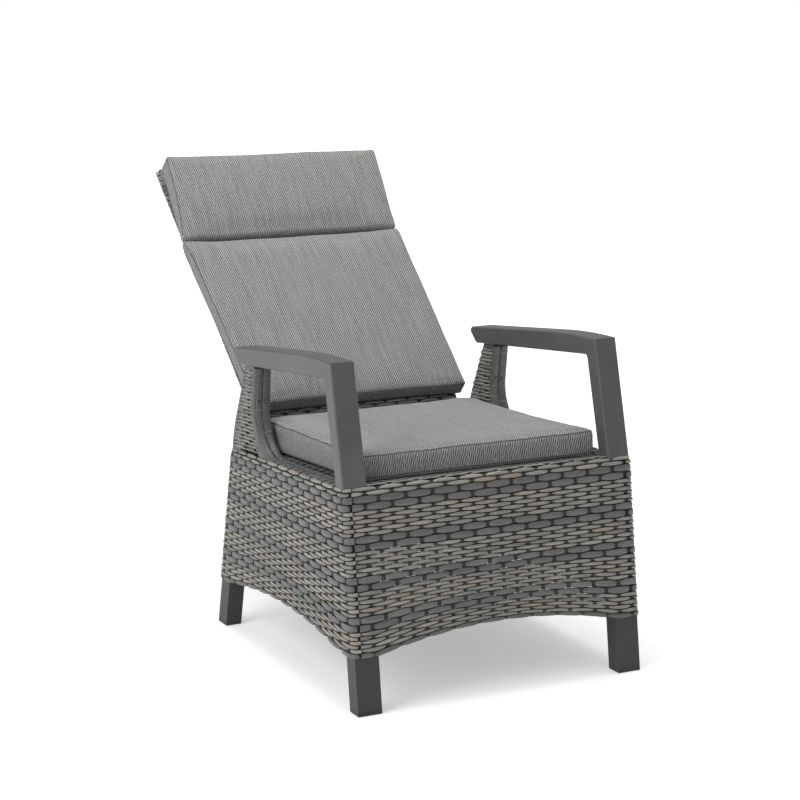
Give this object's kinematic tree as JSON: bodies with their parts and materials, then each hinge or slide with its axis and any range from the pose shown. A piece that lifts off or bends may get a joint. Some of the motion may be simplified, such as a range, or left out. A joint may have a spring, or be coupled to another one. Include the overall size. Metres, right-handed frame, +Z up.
{
  "type": "reclining garden armchair",
  "caption": "Reclining garden armchair: arched woven base, inverted-L metal armrests, tall tilting back on a lockable gas spring, boxed grey cushions.",
  "frame": {"origin": "on the floor under the middle of the chair's overall footprint, with the back reclined as pictured", "axes": "+Z up, the chair faces -Y, +X is the sitter's left"},
  "size_m": [0.644, 1.1856, 0.957],
  "materials": {
    "frame_paint": "matt anthracite powder coat",
    "wicker": "woven synthetic cane, warm grey and mid grey",
    "cushion_cloth": "light grey outdoor weave, thin piped seams",
    "strap_cloth": "light grey webbing",
    "foot_plastic": "matt black glides",
    "steel": "zinc plated",
    "spring_paint": "satin black",
    "rod_chrome": "polished rod",
    "head_aluminium": "cast, satin",
    "black_plastic": "matt black"
  },
  "bodies": {
    "base": {"front_leg_left": "frame_paint", "rear_leg_left": "frame_paint", "armrest_left": "frame_paint", "rear_post_left": "frame_paint", "seat_rail_left": "frame_paint", "side_bow_left": "frame_paint", "side_stretcher_left": "frame_paint", "front_foot_left": "foot_plastic", "rear_foot_left": "foot_plastic", "wicker_side_left": "wicker", "hinge_plate_left": "frame_paint", "front_leg_right": "frame_paint", "rear_leg_right": "frame_paint", "armrest_right": "frame_paint", "rear_post_right": "frame_paint", "seat_rail_right": "frame_paint", "side_bow_right": "frame_paint", "side_stretcher_right": "frame_paint", "front_foot_right": "foot_plastic", "rear_foot_right": "foot_plastic", "wicker_side_right": "wicker", "hinge_plate_right": "frame_paint", "front_rail": "frame_paint", "rear_rail": "frame_paint", "front_stretcher": "frame_paint", "rear_stretcher": "frame_paint", "seat_bar_front": "frame_paint", "seat_bar_middle": "frame_paint", "seat_bar_rear": "frame_paint", "spring_bracket": "frame_paint", "wicker_front": "wicker", "wicker_rear": "wicker", "wicker_seat": "wicker", "pivot_bolts": "steel", "frame_bolts": "steel", "spring_pin": "steel", "button_housing": "black_plastic", "cable_gland": "steel", "seat_cushion": "cushion_cloth"},
    "backrest": {"back_stile_left": "frame_paint", "back_stile_right": "frame_paint", "back_bar_lower": "frame_paint", "back_bar_middle": "frame_paint", "back_bar_upper": "frame_paint", "back_top_bar": "frame_paint", "wicker_back": "wicker", "back_bushes": "black_plastic", "crank_plates": "frame_paint", "crank_pin": "steel", "back_cushion": "cushion_cloth", "back_strap": "strap_cloth"},
    "rod": {"spring_rod": "rod_chrome", "release_head": "head_aluminium", "lever_pin": "steel"},
    "cylinder": {"gas_cylinder": "spring_paint"},
    "lever": {"release_lever": "steel"},
    "button": {"release_button": "black_plastic"}
  },
  "joints": [
    {"name": "recline", "type": "hinge", "parent": "base", "child": "backrest", "pos_m": [0, 0.01681, 0.407], "axis": [1, 0, 0], "range_deg": [-4, 30]},
    {"name": "spring_tilt", "type": "hinge", "parent": "base", "child": "rod", "pos_m": [0, -0.37119, 0.352], "axis": [1, 0, 0], "range_deg": [-1, 1]},
    {"name": "spring_slide", "type": "slide", "parent": "rod", "child": "cylinder", "axis": [0, 0.9998, -0.0223], "range_m": [-0.0047, 0.034]},
    {"name": "button_press", "type": "slide", "parent": "base", "child": "button", "axis": [-0.9997, 0.0227, 0], "range_m": [0, 0.0035], "stiffness_N_per_m": 1500, "springref_m": -0.004},
    {"name": "lever_turn", "type": "hinge", "parent": "rod", "child": "lever", "pos_m": [0, -0.3491, 0.35551], "axis": [1, 0, 0], "range_deg": [0, 6.7]}
  ],
  "couplings": [
    {"joint": "spring_tilt", "follows": "recline", "ratio": 0.0019316},
    {"joint": "spring_slide", "follows": "recline", "m_per_rad": 0.064284},
    {"joint": "lever_turn", "follows": "button_press", "rad_per_m": 33.333}
  ]
}
